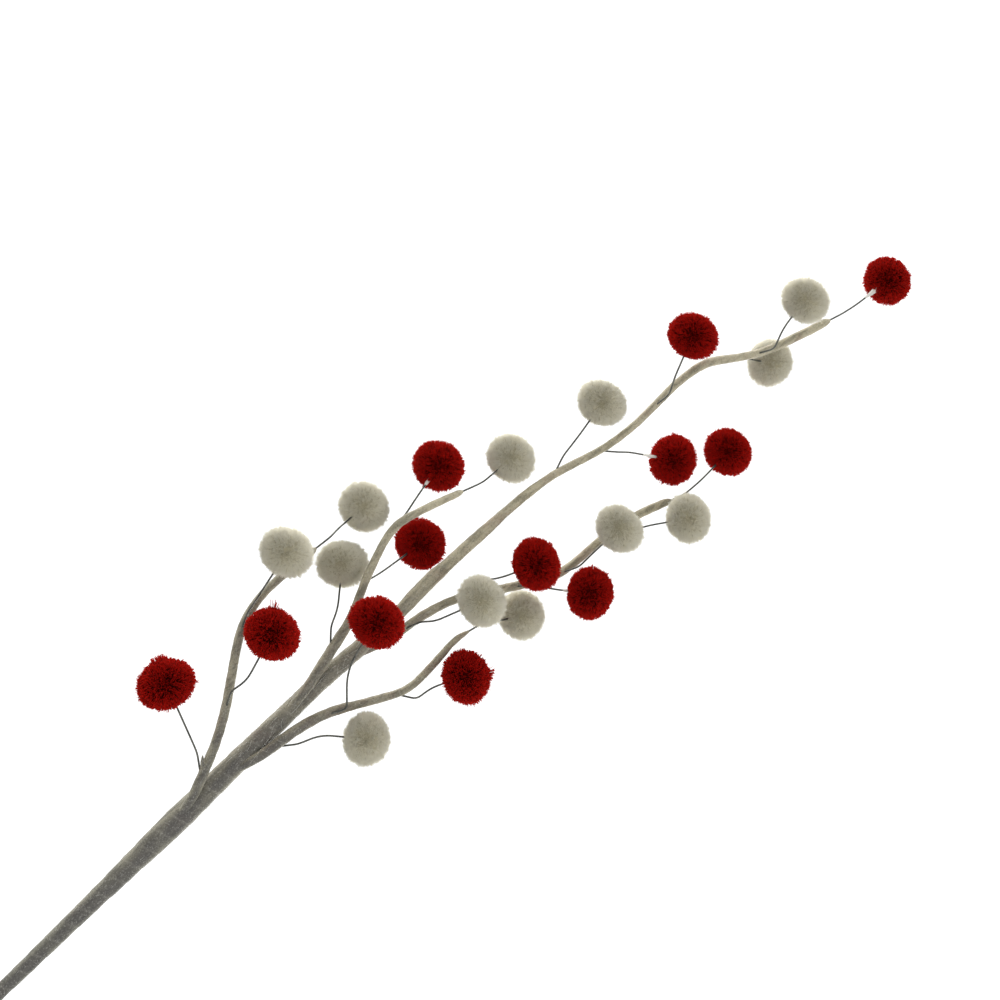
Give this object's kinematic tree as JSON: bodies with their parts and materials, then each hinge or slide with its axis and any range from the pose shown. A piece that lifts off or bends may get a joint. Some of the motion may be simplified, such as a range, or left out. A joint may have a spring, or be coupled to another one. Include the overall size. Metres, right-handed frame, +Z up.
{
  "type": "pom pom spray",
  "caption": "Decorative spray for a vase or wreath: a straight tape-wrapped stem forks into bendable twigs that carry small red and cream yarn pom poms on wires.",
  "frame": {"origin": "middle of the stem at its cut butt end", "axes": "+Z up the stem, +X to the right seen from the front, +Y to the back"},
  "size_m": [0.1464, 0.0729, 0.6089],
  "materials": {
    "tape": "crepe paper floral tape, pale grey-beige with a slight waxy sheen",
    "wire": "dark bare steel wire",
    "rod": "plain steel rod with a cut end",
    "red_yarn": "deep red cut yarn, dense and matt",
    "cream_yarn": "cream cut yarn, soft and matt"
  },
  "bodies": {
    "stem": {"stem_tape": "tape", "stem_rod": "rod"},
    "twig_a": {"twig_a_tape": "tape", "twig_a_wires": "wire"},
    "twig_b": {"twig_b_tape": "tape", "twig_b_wires": "wire"},
    "twig_c": {"twig_c_tape": "tape", "twig_c_wires": "wire"},
    "twig_d": {"twig_d_tape": "tape", "twig_d_wires": "wire"},
    "twig_e": {"twig_e_tape": "tape", "twig_e_wires": "wire"},
    "pom_a1": {"pom_a1_yarn_ball": "red_yarn", "pom_a1_wire": "wire"},
    "pom_a2": {"pom_a2_yarn_ball": "red_yarn", "pom_a2_wire": "wire"},
    "pom_a3": {"pom_a3_yarn_ball": "cream_yarn", "pom_a3_wire": "wire"},
    "pom_a4": {"pom_a4_yarn_ball": "cream_yarn", "pom_a4_wire": "wire"},
    "pom_b1": {"pom_b1_yarn_ball": "cream_yarn", "pom_b1_wire": "wire"},
    "pom_b2": {"pom_b2_yarn_ball": "red_yarn", "pom_b2_wire": "wire"},
    "pom_b3": {"pom_b3_yarn_ball": "red_yarn", "pom_b3_wire": "wire"},
    "pom_b4": {"pom_b4_yarn_ball": "cream_yarn", "pom_b4_wire": "wire"},
    "pom_c1": {"pom_c1_yarn_ball": "cream_yarn", "pom_c1_wire": "wire"},
    "pom_c2": {"pom_c2_yarn_ball": "red_yarn", "pom_c2_wire": "wire"},
    "pom_c3": {"pom_c3_yarn_ball": "red_yarn", "pom_c3_wire": "wire"},
    "pom_c4": {"pom_c4_yarn_ball": "cream_yarn", "pom_c4_wire": "wire"},
    "pom_c5": {"pom_c5_yarn_ball": "cream_yarn", "pom_c5_wire": "wire"},
    "pom_c6": {"pom_c6_yarn_ball": "red_yarn", "pom_c6_wire": "wire"},
    "pom_d1": {"pom_d1_yarn_ball": "cream_yarn", "pom_d1_wire": "wire"},
    "pom_d2": {"pom_d2_yarn_ball": "red_yarn", "pom_d2_wire": "wire"},
    "pom_d3": {"pom_d3_yarn_ball": "red_yarn", "pom_d3_wire": "wire"},
    "pom_d4": {"pom_d4_yarn_ball": "cream_yarn", "pom_d4_wire": "wire"},
    "pom_d5": {"pom_d5_yarn_ball": "cream_yarn", "pom_d5_wire": "wire"},
    "pom_d6": {"pom_d6_yarn_ball": "red_yarn", "pom_d6_wire": "wire"},
    "pom_e1": {"pom_e1_yarn_ball": "cream_yarn", "pom_e1_wire": "wire"},
    "pom_e2": {"pom_e2_yarn_ball": "red_yarn", "pom_e2_wire": "wire"},
    "pom_e3": {"pom_e3_yarn_ball": "red_yarn", "pom_e3_wire": "wire"},
    "pom_e4": {"pom_e4_yarn_ball": "cream_yarn", "pom_e4_wire": "wire"}
  },
  "joints": [
    {"name": "twig_a_bend", "type": "hinge", "parent": "stem", "child": "twig_a", "pos_m": [-0.006, -0.006, 0.177], "axis": [0.9086, -0.109, 0.4033], "range_deg": [-15, 15]},
    {"name": "twig_b_bend", "type": "hinge", "parent": "stem", "child": "twig_b", "pos_m": [-0.0042, -0.0048, 0.244], "axis": [0.9701, 0, 0.2425], "range_deg": [-6, 6]},
    {"name": "twig_c_bend", "type": "hinge", "parent": "stem", "child": "twig_c", "pos_m": [0.003, 0, 0.289], "axis": [0.9978, -0.0299, 0.0599], "range_deg": [-12, 15]},
    {"name": "twig_d_bend", "type": "hinge", "parent": "stem", "child": "twig_d", "pos_m": [0.009, 0, 0.285], "axis": [0.9849, 0.0985, -0.1421], "range_deg": [-12, 15]},
    {"name": "twig_e_bend", "type": "hinge", "parent": "stem", "child": "twig_e", "pos_m": [0.0048, -0.0056, 0.209], "axis": [0.9875, 0.079, -0.1366], "range_deg": [-6, 6]},
    {"name": "pom_a1_bend", "type": "hinge", "parent": "twig_a", "child": "pom_a1", "pos_m": [-0.01263, -0.0052, 0.18365], "axis": [0.5584, -0.067, 0.8269], "range_deg": [-20, 20]},
    {"name": "pom_a2_bend", "type": "hinge", "parent": "twig_a", "child": "pom_a2", "pos_m": [-0.02428, -0.00716, 0.21098], "axis": [0.8238, -0.0988, 0.5582], "range_deg": [-10, 20]},
    {"name": "pom_a3_bend", "type": "hinge", "parent": "twig_a", "child": "pom_a3", "pos_m": [-0.04412, -0.00466, 0.23898], "axis": [0.8571, -0.1028, 0.5047], "range_deg": [-8, 20]},
    {"name": "pom_a4_bend", "type": "hinge", "parent": "twig_a", "child": "pom_a4", "pos_m": [-0.04512, -0.00131, 0.28799], "axis": [0.9886, -0.1186, -0.0932], "range_deg": [-20, 20]},
    {"name": "pom_b1_bend", "type": "hinge", "parent": "twig_b", "child": "pom_b1", "pos_m": [-0.01255, -0.0048, 0.26221], "axis": [0.6911, 0, 0.7227], "range_deg": [-20, 3]},
    {"name": "pom_b2_bend", "type": "hinge", "parent": "twig_b", "child": "pom_b2", "pos_m": [-0.01741, -0.00156, 0.2851], "axis": [0.8815, 0, 0.4723], "range_deg": [-20, 15]},
    {"name": "pom_b3_bend", "type": "hinge", "parent": "twig_b", "child": "pom_b3", "pos_m": [-0.02843, -0.0017, 0.32243], "axis": [1, 0, -0.0041], "range_deg": [-20, 20]},
    {"name": "pom_b4_bend", "type": "hinge", "parent": "twig_b", "child": "pom_b4", "pos_m": [-0.01753, -0.0048, 0.35484], "axis": [0.9462, 0, -0.3237], "range_deg": [-20, 20]},
    {"name": "pom_c1_bend", "type": "hinge", "parent": "twig_c", "child": "pom_c1", "pos_m": [0.00504, -0.00006, 0.39704], "axis": [0.9428, -0.0283, 0.332], "range_deg": [-20, 20]},
    {"name": "pom_c2_bend", "type": "hinge", "parent": "twig_c", "child": "pom_c2", "pos_m": [0.01814, -0.00045, 0.42051], "axis": [0.7024, -0.0211, -0.7115], "range_deg": [-12, 20]},
    {"name": "pom_c3_bend", "type": "hinge", "parent": "twig_c", "child": "pom_c3", "pos_m": [0.01713, -0.00354, 0.45645], "axis": [0.9994, -0.03, 0.0151], "range_deg": [-20, 20]},
    {"name": "pom_c4_bend", "type": "hinge", "parent": "twig_c", "child": "pom_c4", "pos_m": [0.03025, 0.0025, 0.50397], "axis": [0.8316, -0.025, -0.5548], "range_deg": [-20, 10]},
    {"name": "pom_c5_bend", "type": "hinge", "parent": "twig_c", "child": "pom_c5", "pos_m": [0.03614, -0.00422, 0.51511], "axis": [0.8891, -0.0267, -0.457], "range_deg": [-20, 20]},
    {"name": "pom_c6_bend", "type": "hinge", "parent": "twig_c", "child": "pom_c6", "pos_m": [0.05033, -0.00142, 0.55888], "axis": [0.9601, -0.0288, -0.2781], "range_deg": [-20, 20]},
    {"name": "pom_d1_bend", "type": "hinge", "parent": "twig_d", "child": "pom_d1", "pos_m": [0.01041, -0.00313, 0.29262], "axis": [0.9849, 0.0985, -0.1421], "range_deg": [-6, 20]},
    {"name": "pom_d2_bend", "type": "hinge", "parent": "twig_d", "child": "pom_d2", "pos_m": [0.01879, 0.00098, 0.32666], "axis": [0.9944, 0.0994, 0.035], "range_deg": [-20, 20]},
    {"name": "pom_d3_bend", "type": "hinge", "parent": "twig_d", "child": "pom_d3", "pos_m": [0.03508, -0.00074, 0.34504], "axis": [0.8389, 0.0839, -0.5377], "range_deg": [-6, 20]},
    {"name": "pom_d4_bend", "type": "hinge", "parent": "twig_d", "child": "pom_d4", "pos_m": [0.04609, 0.00038, 0.36757], "axis": [0.9558, 0.0956, -0.2782], "range_deg": [-8, 20]},
    {"name": "pom_d5_bend", "type": "hinge", "parent": "twig_d", "child": "pom_d5", "pos_m": [0.05249, 0.00435, 0.40097], "axis": [0.7404, 0.074, -0.668], "range_deg": [-10, 20]},
    {"name": "pom_d6_bend", "type": "hinge", "parent": "twig_d", "child": "pom_d6", "pos_m": [0.06011, 0.00511, 0.43378], "axis": [0.9232, 0.0923, -0.373], "range_deg": [-20, 20]},
    {"name": "pom_e1_bend", "type": "hinge", "parent": "twig_e", "child": "pom_e1", "pos_m": [0.00934, -0.00524, 0.21611], "axis": [0.7652, 0.0612, -0.6408], "range_deg": [-20, 20]},
    {"name": "pom_e2_bend", "type": "hinge", "parent": "twig_e", "child": "pom_e2", "pos_m": [0.01332, -0.0084, 0.24164], "axis": [0.9221, 0.0737, -0.3799], "range_deg": [-12, 20]},
    {"name": "pom_e3_bend", "type": "hinge", "parent": "twig_e", "child": "pom_e3", "pos_m": [0.03278, -0.00336, 0.26954], "axis": [0.5242, 0.0419, -0.8506], "range_deg": [-15, 20]},
    {"name": "pom_e4_bend", "type": "hinge", "parent": "twig_e", "child": "pom_e4", "pos_m": [0.03224, -0.0034, 0.31491], "axis": [0.9656, 0.0772, -0.2483], "range_deg": [-20, 8]}
  ]
}
